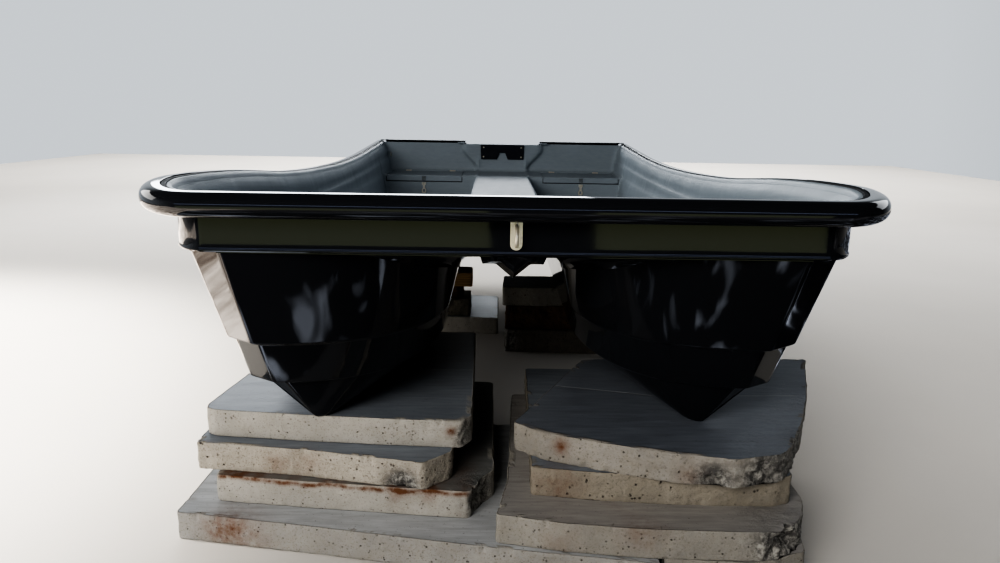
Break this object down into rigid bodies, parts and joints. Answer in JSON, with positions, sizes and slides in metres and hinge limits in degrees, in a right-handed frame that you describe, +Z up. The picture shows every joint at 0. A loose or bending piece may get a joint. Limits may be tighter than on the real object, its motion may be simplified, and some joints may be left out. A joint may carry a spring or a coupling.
{
  "type": "fishing catamaran",
  "caption": "Small open fishing catamaran with twin stepped hulls, grey cockpit liner and hinged locker lids, standing on a plinth of cast slabs.",
  "frame": {"origin": "on the floor, under the middle of the whole part's box, on the boat's centreline", "axes": "+Y towards the stern, +X towards the port side, +Z up"},
  "size_m": [1.97, 3.5838, 0.9141],
  "materials": {
    "black_gelcoat": "gloss",
    "grey_gelcoat": "satin",
    "trim_rubber": "matt",
    "black_plastic": "satin",
    "stainless": "polished",
    "concrete": "rough",
    "stone": "rough",
    "timber": "sawn"
  },
  "bodies": {
    "boat_on_plinth": {"bow_band": "black_gelcoat", "bow_eye_bolt": "stainless", "bow_eye_plate": "stainless", "bridge_deck": "black_gelcoat", "cockpit_liner": "grey_gelcoat", "drain_plug_port": "black_plastic", "drain_plug_starboard": "black_plastic", "gunwale_rail": "black_gelcoat", "hinge_fixed_inner_port": "stainless", "hinge_fixed_inner_starboard": "stainless", "hinge_fixed_outer_port": "stainless", "hinge_fixed_outer_starboard": "stainless", "hull_bow_port": "black_gelcoat", "hull_bow_starboard": "black_gelcoat", "hull_port": "black_gelcoat", "hull_starboard": "black_gelcoat", "joint_trim": "trim_rubber", "latch_port": "stainless", "latch_starboard": "stainless", "motor_pad_inside": "black_plastic", "motor_pad_outside": "black_plastic", "pile_left_base": "concrete", "pile_left_lump": "stone", "pile_left_stone": "stone", "pile_left_timber": "timber", "pile_right_base": "concrete", "pile_right_stone": "stone", "pile_right_wedge": "concrete", "slab_left_base": "concrete", "slab_left_lower": "concrete", "slab_left_middle": "concrete", "slab_left_top": "concrete", "slab_right_base": "concrete", "slab_right_lower": "concrete", "slab_right_middle": "concrete", "slab_right_top": "concrete", "stern_eye": "stainless", "transom_cap_port": "black_plastic", "transom_cap_starboard": "black_plastic", "transom_foot": "black_gelcoat", "upper_band": "black_gelcoat"},
    "port_lid": {"locker_lid_port": "grey_gelcoat", "hinge_moving_inner_port": "stainless", "hinge_moving_outer_port": "stainless", "keeper_port": "black_plastic"},
    "starboard_lid": {"locker_lid_starboard": "grey_gelcoat", "hinge_moving_inner_starboard": "stainless", "hinge_moving_outer_starboard": "stainless", "keeper_starboard": "black_plastic"}
  },
  "joints": [
    {"name": "port_lid_hinge", "type": "hinge", "parent": "boat_on_plinth", "child": "port_lid", "pos_m": [0.48, 1.702, 0.687], "axis": [-1, 0, 0], "range_deg": [0, 78]},
    {"name": "starboard_lid_hinge", "type": "hinge", "parent": "boat_on_plinth", "child": "starboard_lid", "pos_m": [-0.48, 1.702, 0.687], "axis": [-1, 0, 0], "range_deg": [0, 78]}
  ]
}
